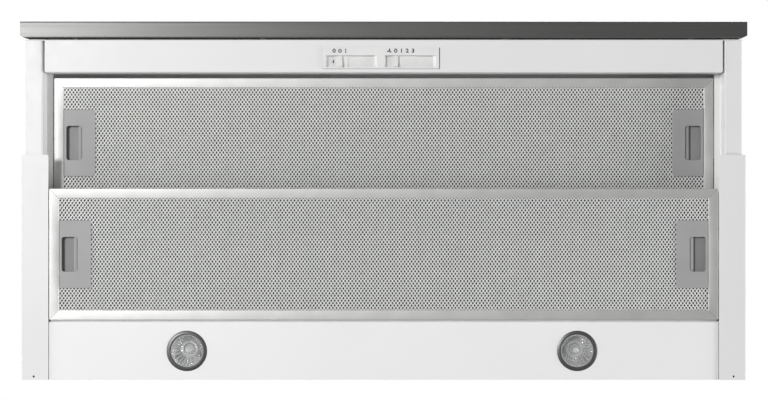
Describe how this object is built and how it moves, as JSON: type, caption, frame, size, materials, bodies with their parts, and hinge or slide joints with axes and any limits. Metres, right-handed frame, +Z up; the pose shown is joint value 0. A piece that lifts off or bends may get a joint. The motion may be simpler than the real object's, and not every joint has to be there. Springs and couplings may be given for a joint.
{
  "type": "pull out range hood",
  "caption": "Pull out range hood for a wall cabinet, slider drawn out, with grease filters, lamps, switches, blower and duct collar.",
  "frame": {"origin": "under the middle of the whole hood with its slider drawn out, level with its underside", "axes": "+Z up, -Y to the front where the fascia is, +X to the right seen from the front"},
  "size_m": [0.898, 0.4426, 0.236],
  "materials": {
    "white_steel": "white powder coat",
    "stainless": "brushed along its length",
    "aluminium": "satin anodised",
    "mesh": "expanded sheet",
    "wire_pad": "knitted wire",
    "grey_plastic": "fine moulded grain",
    "white_plastic": "semi gloss",
    "black_plastic": "moulded",
    "zinc_steel": "zinc plated",
    "lamp_glass": "clear",
    "reflector": "faceted mirror",
    "bulb_glass": "clear",
    "ceramic": "unglazed",
    "lamp_ring": "satin plated"
  },
  "bodies": {
    "chassis": {"left_side_panel": "white_steel", "right_side_panel": "white_steel", "back_panel": "white_steel", "deck": "white_steel", "front_bridge": "white_steel", "light_panel": "white_steel", "lamp_bezels": "lamp_ring", "lamp_glasses": "lamp_glass", "lamp_reflectors": "reflector", "lamp_bulbs": "bulb_glass", "lamp_holders": "ceramic", "motor_box": "white_steel", "duct_collar": "black_plastic", "volute_left": "black_plastic", "volute_right": "black_plastic", "motor_case": "zinc_steel", "motor_bracket": "zinc_steel", "run_capacitor": "zinc_steel", "terminal_box": "grey_plastic", "terminal_lid": "grey_plastic", "cable_gland": "black_plastic", "body_screws": "zinc_steel", "outer_rails": "zinc_steel", "fixed_filter_frame": "aluminium", "fixed_filter_face": "mesh", "fixed_filter_core": "wire_pad", "fixed_filter_back": "mesh", "fixed_handle_covers": "grey_plastic", "fixed_spring_left": "zinc_steel", "fixed_spring_right": "zinc_steel"},
    "slider": {"inner_rails": "zinc_steel", "left_arm": "white_steel", "right_arm": "white_steel", "front_box": "white_steel", "fascia": "stainless", "fascia_spacers": "black_plastic", "fascia_screws": "zinc_steel", "slider_top": "white_steel", "rear_bar": "white_steel", "control_plate": "white_plastic", "switch_blocks": "black_plastic", "slider_filter_frame": "aluminium", "slider_filter_face": "mesh", "slider_filter_core": "wire_pad", "slider_filter_back": "mesh", "slider_handle_covers": "grey_plastic", "slider_spring_left": "zinc_steel", "slider_spring_right": "zinc_steel"},
    "impeller": {"impeller": "black_plastic", "motor_shaft": "zinc_steel"},
    "flap_front": {"flap_front": "grey_plastic"},
    "flap_rear": {"flap_rear": "grey_plastic"},
    "ball_cages": {"ball_cages": "zinc_steel", "bearing_balls": "zinc_steel"},
    "light_knob": {"light_knob": "white_plastic"},
    "fan_knob": {"fan_knob": "white_plastic"},
    "fixed_latch_left": {"fixed_latch_left": "grey_plastic"},
    "fixed_latch_right": {"fixed_latch_right": "grey_plastic"},
    "slider_latch_left": {"slider_latch_left": "grey_plastic"},
    "slider_latch_right": {"slider_latch_right": "grey_plastic"}
  },
  "joints": [
    {"name": "slider_slide", "type": "slide", "parent": "chassis", "child": "slider", "axis": [0, 1, 0], "range_m": [0, 0.142]},
    {"name": "cage_slide", "type": "slide", "parent": "chassis", "child": "ball_cages", "axis": [0, 1, 0], "range_m": [0, 0.071]},
    {"name": "light_switch", "type": "slide", "parent": "slider", "child": "light_knob", "axis": [1, 0, 0], "range_m": [-0.0071, 0.0071]},
    {"name": "fan_switch", "type": "slide", "parent": "slider", "child": "fan_knob", "axis": [1, 0, 0], "range_m": [0, 0.0213]},
    {"name": "fixed_latch_left_slide", "type": "slide", "parent": "chassis", "child": "fixed_latch_left", "axis": [1, 0, 0], "range_m": [0, 0.005], "stiffness_N_per_m": 400, "springref_m": -0.004, "deforming": ["fixed_spring_left"]},
    {"name": "fixed_latch_right_slide", "type": "slide", "parent": "chassis", "child": "fixed_latch_right", "axis": [-1, 0, 0], "range_m": [0, 0.005], "stiffness_N_per_m": 400, "springref_m": -0.004, "deforming": ["fixed_spring_right"]},
    {"name": "slider_latch_left_slide", "type": "slide", "parent": "slider", "child": "slider_latch_left", "axis": [1, 0, 0], "range_m": [0, 0.005], "stiffness_N_per_m": 400, "springref_m": -0.004, "deforming": ["slider_spring_left"]},
    {"name": "slider_latch_right_slide", "type": "slide", "parent": "slider", "child": "slider_latch_right", "axis": [-1, 0, 0], "range_m": [0, 0.005], "stiffness_N_per_m": 400, "springref_m": -0.004, "deforming": ["slider_spring_right"]},
    {"name": "impeller_spin", "type": "hinge", "parent": "chassis", "child": "impeller", "pos_m": [0, 0.12635, 0.135], "axis": [1, 0, 0], "continuous": true},
    {"name": "flap_front_hinge", "type": "hinge", "parent": "chassis", "child": "flap_front", "pos_m": [0, 0.07835, 0.2063], "axis": [-1, 0, 0], "range_deg": [0, 80]},
    {"name": "flap_rear_hinge", "type": "hinge", "parent": "chassis", "child": "flap_rear", "pos_m": [0, 0.08635, 0.2063], "axis": [1, 0, 0], "range_deg": [0, 80]}
  ],
  "couplings": [
    {"joint": "cage_slide", "follows": "slider_slide", "ratio": 0.5}
  ]
}
